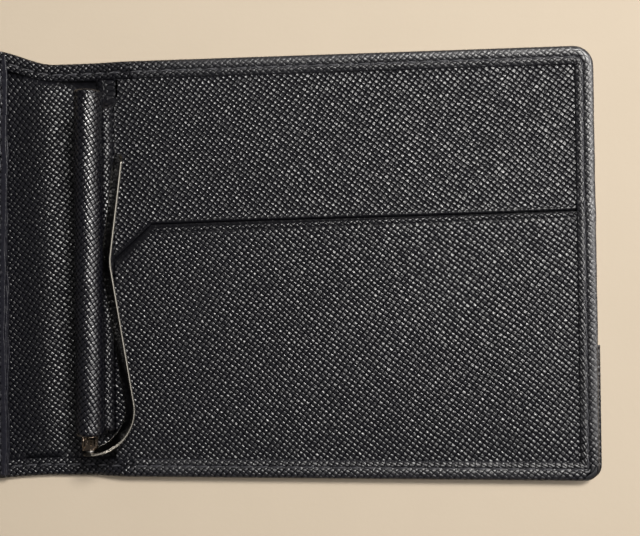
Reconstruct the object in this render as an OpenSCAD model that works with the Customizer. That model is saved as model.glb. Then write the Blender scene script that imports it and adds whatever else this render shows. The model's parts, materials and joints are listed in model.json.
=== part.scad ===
// Slim folding leather wallet with a swivelling money clip, lying open.
// X runs across the open wallet, Y along the fold, Z up from the surface it lies on.
// The origin is midway between the two fold lines, on that surface.

/* [Wallet] */
// Height of the wallet, along the fold
wallet_h = 85; // [70:1:110]
// Width of each half of the open wallet, from the middle of the spine
half_w = 110; // [90:1:140]
// Corner radius at the top of each outer edge
top_corner_r = 4; // [1:0.5:10]
// Corner radius at the bottom of each outer edge
low_corner_r = 2.8; // [1:0.2:10]
// Space left above the clip when the wallet is closed
close_gap = 0.45; // [0.3:0.05:4]

/* [Leather] */
// Thickness of the outer leather
shell_t = 0.6; // [0.4:0.1:1.5]
// Thickness of the lining in the spine
lining_t = 0.5; // [0.3:0.1:1]
// Thickness of the inside panels of the right half
panel_t = 0.45; // [0.3:0.05:1]
// Thickness of each card pocket of the left half
slot_t = 0.4; // [0.3:0.05:1]
// Thickness of the stiffening boards
board_t = 0.4; // [0.3:0.05:1]
// Thickness of the turned-over border
border_t = 0.5; // [0.3:0.05:1]
// Width of the turned-over border
border_w = 3.7; // [3:0.1:8]
// Thickness of the leather that wraps each outer edge
rim_t = 0.6; // [0.4:0.1:1.5]

/* [Right half] */
// Height of the slanted pocket mouth at its inner end, above the bottom edge
slit_in_h = 50.8; // [40:0.2:60]
// Height of the slanted pocket mouth at its outer end, above the bottom edge
slit_out_h = 52.6; // [40:0.2:62]
// Width of the pocket's cut-off inner corner
chamfer_w = 7.6; // [2:0.2:14]
// Drop of the pocket's cut-off inner corner
chamfer_h = 6.8; // [2:0.2:14]
// Height of the slip pocket on the back, above the bottom edge
slip_h = 26.3; // [15:0.1:38]
// Distance of the slip pocket's inner end from the middle of the spine
slip_x = 30; // [22:1:60]
// Thickness of the slip pocket's leather
slip_t = 0.5; // [0.3:0.05:1]
// How far the slip pocket stands proud of the outer edge
slip_proud = 0.7; // [0:0.1:1.5]

/* [Left half] */
// Number of stepped card pockets
slot_count = 4; // [4:1:4]
// Height of the lowest card pocket's mouth, above the bottom edge
slot_first_h = 40.5; // [25:0.5:45]
// Step between the mouths of neighbouring card pockets
slot_step = 11; // [6:0.5:12]
// Distance of the card pockets' inner edge from the fold line
stack_in = 1.7; // [0.4:0.1:8]

/* [Clip] */
// Outer radius of the leather roll round the rod
roll_r = 2.85; // [2.4:0.05:4]
// Radius of the rod
rod_r = 1.6; // [1.2:0.05:2]
// Running clearance of the rod in the roll, on the radius
rod_fit = 0.05; // [0.02:0.01:0.1]
// Gap between the closed spine and the roll
roll_gap = 0.55; // [0.4:0.05:3]
// Distance of the roll's lower end from the bottom edge
roll_low = 9.6; // [8:0.2:20]
// Distance of the roll's upper end from the top edge
roll_high = 8.4; // [4:0.2:20]
// Length of the ferrule below the roll
ferrule_l = 2.8; // [1.5:0.1:6]
// Width of the spring strip
strip_w = 5.4; // [3:0.1:8]
// Part of the strip's width that lies below the rod's axis
strip_low = 2.2; // [1:0.1:4]
// Thickness of the spring strip
strip_t = 0.6; // [0.4:0.05:1]
// Angle at which the clip leans down over the right half
lean = 32; // [20:1:40]
// Radius of the clip's bottom bend
bend_r = 8; // [6:0.1:10]
// Angle at which the strip runs back towards the roll
lead_in = 9.3; // [6:0.1:14]
// Angle at which the tip flares away from the roll
flare = 7.2; // [3:0.1:12]
// Length of the flared tip
tip_l = 20.5; // [10:0.5:26]
// Radius of the strip's kink beside the roll
kink_r = 10; // [4:0.5:16]
// Gap between the strip's kink and the roll
kink_gap = 0.25; // [0.15:0.05:1]
// Clearance between the strip and the right half, at its lowest point
strip_clear = 0.45; // [0.4:0.05:2]

/* [Stitching] */
// Distance of the stitches from the outer edge
stitch_in = 2.3; // [1.5:0.1:3]
// Length of one stitch
stitch_l = 2.2; // [1:0.1:4]
// Distance from one stitch to the next
stitch_step = 3.1; // [2:0.1:6]
// Thickness of the thread
thread_t = 0.35; // [0.2:0.05:0.6]

/* [Hidden] */
$fn = 48;

// Clearance between pieces that sit side by side
side_gap = 0.2;
// Gap between the leather on the two sides of a fold line
fold_gap = 0.1;
// Gap in the turned-over border at a fold line
border_fold_gap = 0.7;

// Right half, heights of the layers
back_z = max(shell_t + lining_t, slip_t + shell_t) + board_t;
back_top = back_z + panel_t;
pocket_top = back_top + panel_t;
board_z = back_z - board_t;

// Left half, heights of the layers
left_board_z = shell_t + lining_t;
backing_z = left_board_z + board_t;
first_slot_z = backing_z + slot_t;
stack_top = first_slot_z + slot_count * slot_t;
left_t = stack_top + border_t;

// Folds: the hinge lines lie on top of the spine's lining
fold_z = shell_t + lining_t;
end_r = 1.6;
strip_tail = 1.7;
strip_reach = bend_r + strip_t / 2;
rod_z = pocket_top + strip_clear + strip_reach * sin(lean) + strip_low * cos(lean);
strip_high = strip_w - strip_low;
clip_top = max(roll_r, (strip_high - end_r) * cos(lean) + (strip_tail - end_r) * sin(lean) + end_r);
spine_w = rod_z + clip_top + close_gap + left_t - 2 * fold_z;
fold_x = spine_w / 2;
rod_x = fold_x + roll_gap + roll_r;

// Inner edges of the two halves' panels
neck_w = 1.3;
neck_in = -0.4;
ridge_r = 0.75;
ridge_x = rod_x + 1.75;
panel_x = ridge_x + ridge_r + 0.5;
flange_x = rod_x + 6.5;
board_x = flange_x + side_gap;
stack_x = fold_x + stack_in;

// Heights along Y
edge_y = wallet_h / 2;
slit_in_y = slit_in_h - edge_y;
slit_out_y = slit_out_h - edge_y;
slip_y = slip_h - edge_y;
roll_y0 = roll_low - edge_y;
roll_y1 = edge_y - roll_high;
retainer_t = 0.8;
hood_wall = 0.35;
border_ramp = 2;

// The clip's centre line in its own plane: [across, along, heading]
seat_gap = rod_r * rod_r / (2 * bend_r) + 0.02;
strip_y = roll_y0 - fold_gap - ferrule_l - seat_gap - strip_t / 2;
split_angle = 45;
split_half = 0.55;
bend_end = 90 + lead_in;
kink_in = roll_r + kink_gap + strip_t / 2;
kink_start = kink_in + kink_r * (1 - cos(lead_in));
lead_l = (bend_r * cos(lead_in) - kink_start) / sin(lead_in);
arc_step = 6;

function bend_point(a) = [bend_r * sin(a), bend_r * (1 - cos(a)), a];
function ahead(p, l) = [p[0] + l * cos(p[2]), p[1] + l * sin(p[2]), p[2]];
function arc_angles(a0, a1) =
    let (n = ceil(abs(a1 - a0) / arc_step)) [for (i = [0:n]) a0 + (a1 - a0) * i / n];
function kink_points(p, a_out) =
    let (c = [p[0] + kink_r * sin(p[2]), p[1] - kink_r * cos(p[2])])
    [for (a = arc_angles(p[2], a_out)) [c[0] - kink_r * sin(a), c[1] + kink_r * cos(a), a]];
function strip_side(path, s) = [for (p = path) [p[0] + s * sin(p[2]), p[1] - s * cos(p[2])]];
function reversed(list) = [for (i = [len(list) - 1:-1:0]) list[i]];
function strip_band(path) =
    concat(strip_side(path, strip_t / 2), reversed(strip_side(path, -strip_t / 2)));

base_path = concat([[-strip_tail, 0, 0]],
                   [for (a = arc_angles(0, split_angle - split_half)) bend_point(a)]);
lead_path = [for (a = arc_angles(split_angle + split_half, bend_end)) bend_point(a)];
kink_path = kink_points(ahead(bend_point(bend_end), lead_l), 90 - flare);
tip_point = ahead(kink_path[len(kink_path) - 1], tip_l);
arm_path = concat(lead_path, kink_path, [tip_point]);
tip_round = 2.2;

// Top of the turned-over border at height y on each half
function right_border_z(y) =
    y <= slit_out_y + side_gap ? pocket_top
    : y >= slit_out_y + side_gap + border_ramp ? back_top
    : pocket_top - panel_t * (y - slit_out_y - side_gap) / border_ramp;
slot_first_y = slot_first_h - edge_y;
slots_end_y = slot_first_y + slot_count * slot_step;
function left_border_z(y) =
    y <= slot_first_y ? stack_top
    : y >= slots_end_y ? first_slot_z
    : stack_top - slot_t * (y - slot_first_y) / slot_step;

// ---- shapes shared by several pieces ----

// What is cut away outside one rounded outer corner; sy is 1 at the top, -1 at the bottom
module corner_waste(x, y, r, sy) {
    margin = 0.1;
    difference() {
        translate([x - r, min(y - sy * r, y + sy * margin)]) square(r + margin);
        translate([x - r, y - sy * r]) circle(r);
    }
}

// One half's outline from x_in outwards, drawn in by inset on its three free sides
module half_outline(x_in, inset = 0) {
    x_out = half_w - inset;
    y_out = edge_y - inset;
    difference() {
        translate([x_in, -y_out]) square([x_out - x_in, 2 * y_out]);
        corner_waste(x_out, y_out, max(top_corner_r - inset, 0.3), 1);
        corner_waste(x_out, -y_out, max(low_corner_r - inset, 0.3), -1);
    }
}

// A flat sheet of one half, from z, t thick
module half_sheet(x_in, inset, z, t) {
    translate([0, 0, z]) linear_extrude(t) half_outline(x_in, inset);
}

// A prism along X whose section is drawn in Y and Z
module x_prism(x0, x1, points) {
    translate([x0, 0, 0]) rotate([90, 0, 90]) linear_extrude(x1 - x0) polygon(points);
}

// A prism along Y whose section is drawn in X and Z
module y_prism(y0, y1) {
    translate([0, y1, 0]) rotate([90, 0, 0]) linear_extrude(y1 - y0) children();
}

// A block between two heights, each a list of [y, z] points from low y to high y
module between(x0, x1, low, high) {
    x_prism(x0, x1, concat(low, reversed(high)));
}

function lifted(line, dz) = [for (p = line) [p[0], p[1] + dz]];
far_y = edge_y + 1;
function level(z) = [[-far_y, z], [far_y, z]];
right_line = [[-far_y, pocket_top], [slit_out_y + side_gap, pocket_top],
              [slit_out_y + side_gap + border_ramp, back_top], [far_y, back_top]];
left_line = [[-far_y, stack_top], [slot_first_y, stack_top],
             [min(slots_end_y, far_y - 0.1), left_border_z(min(slots_end_y, far_y - 0.1))],
             [far_y, left_border_z(far_y)]];

// Outer leather of one half: sheet, wrapped edge and turned-over border.
// line is the underside of the border as [y, z] points.
module shell_half(line) {
    x_in = fold_x + fold_gap;
    top = max([for (p = line) p[1]]) + border_t + 1;
    difference() {
        intersection() {
            half_sheet(x_in, 0, 0, top);
            between(0, half_w + 1, level(0), lifted(line, border_t));
        }
        // room for the layers inside
        intersection() {
            half_sheet(x_in - 1, rim_t, shell_t, top);
            between(0, half_w + 1, level(0), line);
        }
        // the open middle of the border
        half_sheet(x_in - 1, border_w, shell_t, top);
        // the border starts clear of the fold line
        translate([x_in - 1, -far_y, fold_z])
            cube([1 + border_fold_gap, 2 * far_y, top]);
    }
}

// One stitch lying along X, its middle at the origin
module stitch() {
    translate([-stitch_l / 2, -thread_t / 2, 0]) cube([stitch_l, thread_t, thread_t]);
}

// A row of stitches along X at height y, on a surface at z
module stitch_row_x(x0, x1, y, z) {
    n = floor((x1 - x0) / stitch_step);
    for (i = [0:n - 1])
        translate([x0 + (i + 0.5) * (x1 - x0) / n, y, z]) stitch();
}

// A row of stitches along Y at distance x; side is 1 on the right half, -1 on the left
module stitch_row_y(y0, y1, x, side) {
    n = floor((y1 - y0) / stitch_step);
    for (i = [0:n - 1]) {
        y = y0 + (i + 0.5) * (y1 - y0) / n;
        z = side > 0 ? right_border_z(y - stitch_l / 2) : left_border_z(y - stitch_l / 2);
        translate([x, y, z + border_t]) rotate([0, 0, 90]) stitch();
    }
}

// Stitching round the three free sides of one half's border
module border_thread(side) {
    x0 = fold_x + border_fold_gap + 1;
    x1 = half_w - stitch_in;
    y1 = edge_y - stitch_in;
    z_low = (side > 0 ? right_border_z(-y1) : left_border_z(-y1)) + border_t;
    y_seam = y1 - thread_t / 2;
    z_high = (side > 0 ? right_border_z(y_seam) : left_border_z(y_seam)) + border_t;
    stitch_row_x(x0, x1 - 1, -y1, z_low);
    stitch_row_x(x0, x1 - 1, y1, z_high);
    stitch_row_y(1 - y1, y1 - 1, x1, side);
}

// Places the clip's own plane: X away from the roll, Y along it, Z across the strip
module clip_place() {
    translate([rod_x, strip_y, rod_z]) rotate([0, lean, 0]) children();
}

// ---- right half ----

module outer_shell_right() {
    color("#1c1f2e") {
        difference() {
            shell_half(right_line);
            // seat of the slip pocket under the lower part
            translate([slip_x - side_gap, -far_y, -1])
                cube([half_w, far_y + slip_y + side_gap, 1 + slip_t]);
        }
        // the shell passes over the slip pocket
        difference() {
            intersection() {
                half_sheet(slip_x - side_gap - shell_t, rim_t, shell_t - 0.1, slip_t + 0.1);
                translate([0, -far_y, 0]) cube([half_w, far_y + slip_y + side_gap + shell_t, 9]);
            }
            translate([slip_x - side_gap, -far_y, -1])
                cube([half_w, far_y + slip_y + side_gap, 1 + slip_t]);
        }
    }
}

module slip_pocket_front() {
    color("#181b28")
        intersection() {
            linear_extrude(slip_t) {
                translate([slip_x, -edge_y + low_corner_r])
                    square([half_w + slip_proud - slip_x, slip_y + edge_y - low_corner_r]);
                translate([slip_x, -edge_y])
                    square([half_w + slip_proud - low_corner_r - slip_x, 2 * low_corner_r]);
                translate([half_w + slip_proud - low_corner_r, -edge_y + low_corner_r])
                    circle(low_corner_r);
            }
            translate([0, -far_y, 0]) cube([2 * half_w, far_y + slip_y, slip_t]);
        }
}

module right_padding() {
    color("#55555c")
        intersection() {
            half_sheet(slip_x, rim_t + side_gap, shell_t, board_z - shell_t);
            translate([0, slip_y + shell_t + 2 * side_gap, 0]) cube([half_w, 2 * edge_y, 9]);
        }
}

module right_stiffener() {
    color("#8d8577") half_sheet(board_x, rim_t + side_gap, board_z, board_t);
}

module right_spine_lining() {
    color("#1d2030")
        translate([fold_x + fold_gap, rim_t - edge_y, shell_t])
            cube([slip_x - side_gap - shell_t - side_gap - fold_x - fold_gap,
                  2 * (edge_y - rim_t), lining_t]);
}

module back_panel() {
    color("#20243a") half_sheet(panel_x, rim_t + side_gap, back_z, panel_t);
}

module pocket_front() {
    x_end = half_w - rim_t - side_gap;
    x_cut = panel_x + chamfer_w;
    slope = (slit_out_y - slit_in_y) / (x_end - x_cut);
    color("#1e2236")
        intersection() {
            half_sheet(panel_x, rim_t + side_gap, back_top, panel_t);
            linear_extrude(pocket_top)
                polygon([[panel_x, -far_y], [panel_x, slit_in_y - chamfer_h],
                         [x_cut, slit_in_y],
                         [half_w, slit_out_y + slope * (half_w - x_end)],
                         [half_w, -far_y]]);
        }
}

// Leather wrapped round the rod, with its neck and sewn-in flange
module clip_sleeve() {
    neck_z = rod_z - roll_r + 0.5;
    ridge_z = rod_z - 5.35;
    color("#1f2333") {
        y_prism(roll_y0, roll_y1) difference() {
            union() {
                translate([rod_x, rod_z]) circle(roll_r);
                translate([rod_x + neck_in, board_z]) square([neck_w, neck_z - board_z]);
                translate([ridge_x, ridge_z]) circle(ridge_r);
                translate([rod_x + neck_in, board_z])
                    square([ridge_x + ridge_r - rod_x - neck_in, ridge_z - board_z]);
                translate([rod_x + neck_in, board_z])
                    square([flange_x - rod_x - neck_in, board_t]);
            }
            translate([rod_x, rod_z]) circle(rod_r + rod_fit);
        }
        // The roll's top end stands past the retainer and hides it.
        y_prism(roll_y1, roll_y1 + 2 * fold_gap + retainer_t) translate([rod_x, rod_z]) difference() {
            circle(roll_r);
            circle(roll_r - hood_wall);
        }
    }
}

module right_border_thread() {
    color("#0e1018") border_thread(1);
}

// ---- spine ----

module spine_shell() {
    w = spine_w - 2 * fold_gap;
    border = spine_w - 2 * border_fold_gap;
    color("#1c1f2e") {
        difference() {
            translate([-w / 2, -edge_y, 0]) cube([w, wallet_h, fold_z]);
            translate([-w, rim_t - edge_y, shell_t])
                cube([2 * w, wallet_h - 2 * rim_t, fold_z]);
        }
        for (s = [-1, 1])
            translate([-border / 2, s > 0 ? edge_y - border_w : -edge_y, fold_z])
                cube([border, border_w, border_t]);
    }
}

module spine_lining() {
    w = spine_w - 2 * fold_gap;
    color("#1d2030")
        translate([-w / 2, rim_t - edge_y, shell_t])
            cube([w, wallet_h - 2 * rim_t, lining_t]);
}

// ---- left half ----

module outer_shell_left() {
    color("#1c1f2e") mirror([1, 0, 0]) shell_half(left_line);
}

module left_lining() {
    color("#1d2030")
        mirror([1, 0, 0]) half_sheet(fold_x + fold_gap, rim_t + side_gap, shell_t, lining_t);
}

module left_stiffener() {
    color("#8d8577")
        mirror([1, 0, 0]) half_sheet(stack_x + 3, rim_t + side_gap, left_board_z, board_t);
}

module card_backing() {
    color("#20243a")
        mirror([1, 0, 0]) half_sheet(stack_x, rim_t + side_gap, backing_z, slot_t);
}

// Card pocket k, counted from the back of the stack
module card_slot(k) {
    top_y = slot_first_y + (slot_count - k) * slot_step;
    color("#1e2236")
        mirror([1, 0, 0]) intersection() {
            half_sheet(stack_x, rim_t + side_gap, first_slot_z + (k - 1) * slot_t, slot_t);
            translate([0, -far_y, 0]) cube([2 * half_w, far_y + top_y, stack_top + 1]);
        }
}

module left_border_thread() {
    color("#0e1018") mirror([1, 0, 0]) border_thread(-1);
}

// Stitching down the inner edge of the card pockets
module card_stack_thread() {
    x = stack_x + 1.6;
    y0 = border_w + side_gap - edge_y;
    n = floor((slot_first_y - y0) / stitch_step);
    color("#0e1018")
        for (i = [0:n - 1])
            translate([-x, y0 + (i + 0.5) * (slot_first_y - y0) / n, stack_top])
                rotate([0, 0, 90]) stitch();
}

// ---- money clip ----

module rod_part(y0, y1, r) {
    y_prism(y0, y1) translate([rod_x, rod_z]) circle(r);
}

tenon_r = 0.9;
rivet_t = 0.45;

module clip_rod() {
    color("#b9b6ae") {
        rod_part(roll_y0 - fold_gap, roll_y1 + fold_gap, rod_r);
        rod_part(strip_y - strip_t / 2, roll_y1 + fold_gap + retainer_t, tenon_r);
    }
}

module clip_ferrule() {
    color("#b8ada0")
        difference() {
            rod_part(roll_y0 - fold_gap - ferrule_l, roll_y0 - fold_gap, rod_r);
            rod_part(roll_y0 - 2 * ferrule_l, roll_y0, tenon_r);
        }
}

module rod_retainer() {
    color("#8f8c86")
        difference() {
            rod_part(roll_y1 + fold_gap, roll_y1 + fold_gap + retainer_t, roll_r - hood_wall - rod_fit);
            rod_part(roll_y1, roll_y1 + 1 + retainer_t, tenon_r);
        }
}

module clip_rivet() {
    color("#a39e96")
        rod_part(strip_y - strip_t / 2 - rivet_t, strip_y - strip_t / 2, rod_r - 0.1);
}

module clip_base() {
    color("#77777b")
        difference() {
            clip_place() intersection() {
                translate([0, 0, -strip_low]) linear_extrude(strip_w) polygon(strip_band(base_path));
                // the riveted end has rounded corners
                translate([-strip_tail, bend_r, -strip_low])
                    rotate([90, 0, 0]) linear_extrude(2 * bend_r) {
                        translate([end_r, 0]) square([2 * bend_r, strip_w]);
                        translate([0, end_r]) square([end_r, strip_w - 2 * end_r]);
                        for (z = [end_r, strip_w - end_r]) translate([end_r, z]) circle(end_r);
                    }
            }
            rod_part(strip_y - 2, strip_y + 2, tenon_r);
        }
}

module clip_arm() {
    r = min(tip_round, strip_w / 2 - 0.1);
    color("#77777b")
        clip_place() intersection() {
            translate([0, 0, -strip_low]) linear_extrude(strip_w) polygon(strip_band(arm_path));
            // the tip has rounded corners
            translate([-1, 0, -strip_low]) rotate([90, 0, 90]) linear_extrude(3 * bend_r) {
                square([tip_point[1] - r, strip_w]);
                translate([0, r]) square([tip_point[1], strip_w - 2 * r]);
                for (z = [r, strip_w - r]) translate([tip_point[1] - r, z]) circle(r);
            }
        }
}

outer_shell_right();
slip_pocket_front();
right_padding();
right_stiffener();
right_spine_lining();
back_panel();
pocket_front();
clip_sleeve();
right_border_thread();
spine_shell();
spine_lining();
outer_shell_left();
left_lining();
left_stiffener();
card_backing();
card_slot(1);  // card_slot_1
card_slot(2);  // card_slot_2
card_slot(3);  // card_slot_3
card_slot(4);  // card_slot_4
left_border_thread();
card_stack_thread();
clip_rod();
clip_ferrule();
rod_retainer();
clip_rivet();
clip_base();
clip_arm();
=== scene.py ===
"""Slim folding leather wallet with a swivelling money clip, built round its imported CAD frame.

Shapes are worked out in millimetres in the frame's own axes and turned into metres when a mesh is made.
"""
import json
import math

import bmesh
import bpy
import numpy as np
from mathutils import Euler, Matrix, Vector


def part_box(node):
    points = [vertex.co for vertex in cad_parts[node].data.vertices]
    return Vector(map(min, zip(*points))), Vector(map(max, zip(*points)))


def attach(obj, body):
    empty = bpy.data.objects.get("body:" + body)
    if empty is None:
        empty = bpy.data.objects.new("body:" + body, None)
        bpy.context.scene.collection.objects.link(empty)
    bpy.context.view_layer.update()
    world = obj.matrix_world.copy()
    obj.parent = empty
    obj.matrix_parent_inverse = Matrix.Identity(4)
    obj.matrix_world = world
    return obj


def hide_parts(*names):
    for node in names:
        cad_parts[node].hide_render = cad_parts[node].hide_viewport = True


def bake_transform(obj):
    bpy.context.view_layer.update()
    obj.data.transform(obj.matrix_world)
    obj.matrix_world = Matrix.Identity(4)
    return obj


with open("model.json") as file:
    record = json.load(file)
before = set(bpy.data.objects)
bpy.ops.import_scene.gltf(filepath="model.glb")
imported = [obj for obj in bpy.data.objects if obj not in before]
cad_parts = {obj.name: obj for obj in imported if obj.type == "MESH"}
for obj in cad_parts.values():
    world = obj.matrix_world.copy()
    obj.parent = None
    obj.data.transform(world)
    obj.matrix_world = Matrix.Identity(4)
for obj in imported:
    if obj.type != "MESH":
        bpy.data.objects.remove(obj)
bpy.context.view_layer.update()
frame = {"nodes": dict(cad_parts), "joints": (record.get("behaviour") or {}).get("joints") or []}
MM = 0.001
joints = {j["name"]: j for j in frame["joints"]}


def mm_box(node):
    """Lowest and highest corner of a CAD node, in millimetres."""
    low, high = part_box(node)
    return np.array(low) / MM, np.array(high) / MM


def joint_at(name):
    """A joint's place, in millimetres."""
    return np.array(joints[name]["pos_m"]) / MM


# ---- sizes, from the frame where it has them, in millimetres ----

RIGHT, LEFT, SPINE = "right_half", "left_half", "spine"
shell_high = mm_box("outer_shell_right")[1]
back_low, back_high = mm_box("back_panel")
front_low, front_high = mm_box("pocket_front")
slip_low, slip_high = mm_box("slip_pocket_front")
sleeve_low, sleeve_high = mm_box("clip_sleeve")
stack_high = mm_box("card_backing")[1]

HALF_W, EDGE_Y = shell_high[0], shell_high[1]
FOLD_X, _, FOLD_Z = joint_at("fold_right")
ROD_X, _, ROD_Z = joint_at("clip_swivel")
ROLL_R = sleeve_high[2] - ROD_Z
PANEL_X = back_low[0]
roll_y0, roll_y1 = sleeve_low[1], sleeve_high[1]
neck_y1 = mm_box("rod_retainer")[0][1] - 0.1
# the turned-over border, its stitching and the outline's corner radii
BORDER_T = 0.5
BORDER_W = 3.7
STITCH_IN = 2.3
STITCH_STEP = 3.1
STITCH_L = 2.3
STITCH_R = 0.19
TOP_R, LOW_R = 4.0, 2.8
PANEL_TOP_R, PANEL_LOW_R = TOP_R - 0.8, LOW_R - 0.8
SPINE_TOP = FOLD_Z + BORDER_T
# where the spine's leather hands over to a half's own
SPINE_REACH = 17.0
# the pocket's slanted mouth: its rise, and the width and drop of its cut-off corner
SLIT_SLOPE = 1.8
CHAMFER = (7.6, 6.8)
CHAMFER_END = PANEL_X + CHAMFER[0]

rng = np.random.default_rng(7)

# ---- meshes ----


def smooth(t):
    """0 below 0, 1 above 1, and an easy curve between."""
    t = np.clip(t, 0, 1)
    return t * t * (3 - 2 * t)


def bell(x, width):
    """1 at 0, falling to nothing over about twice the width on both sides."""
    return np.exp(-((x / width) ** 2))


def wander(x, y, seed=0.0):
    """A slow, smooth unevenness between about -1 and 1, as hand-laid leather has."""
    return (np.sin(0.071 * x + 0.043 * y + seed) + np.sin(0.113 * y - 0.059 * x + 2.1 * seed)
            + 0.6 * np.sin(0.19 * x + 0.23 * y + 3.7 * seed)) / 2.6


def flare(verts):
    """Draws out the ends of the leather beside the left fold, most at the top, as the photo shows."""
    x, y = verts[:, 0], verts[:, 1]
    top_out, low_out = 3.4, 0.7
    share = smooth((1.0 - x) / 14) * (1 - smooth((-x - 14) / 35))
    verts[:, 1] = y + share * (top_out * smooth((y - 22) / 20) - low_out * smooth((-y - 22) / 20))
    return verts


def mesh_object(name, patches, material):
    """Joins grids of points into one welded mesh. A patch is (points in mm, UV in mm, flip).
    A third UV value, where there is one, says how smoothly the leather is pressed."""
    verts, faces, uvs, presses = [], [], [], []
    start = 0
    for points, uv, flip in patches:
        n, m = points.shape[:2]
        index = np.arange(n * m).reshape(n, m) + start
        quads = np.stack([index[:-1, :-1], index[1:, :-1], index[1:, 1:], index[:-1, 1:]], -1)
        quads = quads.reshape(-1, 4)
        if flip:
            quads = quads[:, ::-1]
        verts.append(points.reshape(-1, 3))
        flat_uv = uv.reshape(-1, uv.shape[-1])
        uvs.append(flat_uv[:, :2])
        presses.append(flat_uv[:, 2] if flat_uv.shape[1] > 2 else np.zeros(len(flat_uv)))
        faces.append(quads)
        start += n * m
    verts = flare(np.concatenate(verts)) * MM
    faces = np.concatenate(faces)
    uvs = np.concatenate(uvs)
    mesh = bpy.data.meshes.new(name)
    mesh.from_pydata(verts.tolist(), [], faces.tolist())
    layer = mesh.uv_layers.new(name="grain")
    layer.data.foreach_set("uv", (uvs[faces.ravel()] * MM * 10).ravel().astype(np.float32))
    press = mesh.attributes.new("press", "FLOAT", "POINT")
    press.data.foreach_set("value", np.clip(np.concatenate(presses), 0, 1).astype(np.float32))
    mesh.polygons.foreach_set("use_smooth", [True] * len(mesh.polygons))
    obj = bpy.data.objects.new(name, mesh)
    bpy.context.scene.collection.objects.link(obj)
    mesh.materials.append(material)
    b = bmesh.new()
    b.from_mesh(mesh)
    bmesh.ops.remove_doubles(b, verts=b.verts, dist=1e-7)
    bmesh.ops.dissolve_degenerate(b, dist=1e-8, edges=b.edges)
    bmesh.ops.recalc_face_normals(b, faces=b.faces)
    b.to_mesh(mesh)
    b.free()
    return obj


def run_length(points):
    """Distance along a line of points, at each of them."""
    return np.concatenate([[0], np.cumsum(np.linalg.norm(np.diff(points, axis=0), axis=1))])


def sweep(rings):
    """Closed rings, one after another, as one grid of points."""
    points = np.stack(rings, 0)
    return np.concatenate([points, points[:, :1]], 1)


def end_cap(ring, hub, uv, hub_uv=None):
    """Closes the end of a sweep with a fan from its ring to the point hub."""
    hubs = np.broadcast_to(hub, ring.shape)
    return np.stack([ring, hubs], 0), np.stack([uv, uv if hub_uv is None else hub_uv], 0), False


def spaced(a, b, step):
    """Grid lines from a to b, closer together near both ends."""
    near = np.array([0, 0.07, 0.18, 0.32, 0.55, 0.85, 1.2, 1.7])
    inner_a, inner_b = a + near[-1], b - near[-1]
    n = max(2, int(round((inner_b - inner_a) / step)) + 1)
    return np.concatenate([a + near[:-1], np.linspace(inner_a, inner_b, n), b - near[-2::-1]])


def edge_distance(x, y, outline):
    """Distance of points to the nearest side of a closed outline."""
    p = np.stack([x.ravel(), y.ravel()], -1)[:, None, :]
    a = outline[None]
    d = np.roll(a, -1, axis=1) - a
    t = np.clip(((p - a) * d).sum(-1) / np.maximum((d * d).sum(-1), 1e-12), 0, 1)
    gap = p - (a + t[..., None] * d)
    return np.sqrt((gap ** 2).sum(-1).min(1)).reshape(x.shape)


def rounding(d, r):
    """How far a surface has dropped at distance d inside an edge rounded to radius r."""
    q = np.clip(r - d, 0, r)
    return r - np.sqrt(np.maximum(r * r - q * q, 0))


def corner_map(x, y, x1, y1, r, sx, sy):
    """Bends the square corner of a grid at (x1, y1) into a quarter circle; sx, sy point outwards."""
    a = sx * (x - (x1 - sx * r)) / r
    b = sy * (y - (y1 - sy * r)) / r
    inside = (a > 0) & (b > 0)
    na = a * np.sqrt(np.maximum(1 - b * b / 2, 0))
    nb = b * np.sqrt(np.maximum(1 - a * a / 2, 0))
    x = np.where(inside, x1 - sx * r + sx * r * na, x)
    y = np.where(inside, y1 - sy * r + sy * r * nb, y)
    return x, y


def rim(grid):
    """The outermost points of a grid, in order round it."""
    return np.concatenate([grid[:-1, 0], grid[-1, :-1], grid[:0:-1, -1], grid[0, :0:-1]])


def side_patch(top, bottom):
    """The wall between the rims of two grids of one shape, pressed smooth."""
    a, b = [np.concatenate([rim(grid), grid[:1, 0]]) for grid in (top, bottom)]
    run = run_length(a)
    depth = np.linalg.norm(a - b, axis=1)
    press_mask = np.full_like(run, 0.9)
    uv = np.stack([np.stack([run, 0 * run, press_mask], -1), np.stack([run, depth, press_mask], -1)], 0)
    return np.stack([a, b], 0), uv, False


def slab(name, x, y, height, floor_z, material, edge_r=0.18, under=False, press=None):
    """A sheet over a grid. height(x, y, d) is its shown face, d the distance to its edge.
    The shown face is the top, or the underside where under is true. press(x, y, d) is where
    its leather is pressed smooth."""
    d = edge_distance(x, y, rim(np.stack([x, y], -1)))
    z = height(x, y, d)
    z = z + rounding(d, edge_r) if under else z - rounding(d, edge_r)
    shown = np.stack([x, y, z], -1)
    other = np.stack([x, y, np.full_like(x, floor_z)], -1)
    press_mask = bell(d, 0.35) if press is None else press(x, y, d)
    uv = np.stack([x, y, press_mask], -1)
    patches = [(shown, uv, under), (other, uv, not under), side_patch(shown, other)]
    return mesh_object(name, patches, material)


def place(obj, body, nodes):
    """Rides obj on a body, if there is one, and hides the CAD nodes that it stands for. A piece that
    lies between two bodies has none here."""
    if body:
        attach(obj, body)
    if nodes:
        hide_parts(*nodes)
    return obj


# ---- materials ----


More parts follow.
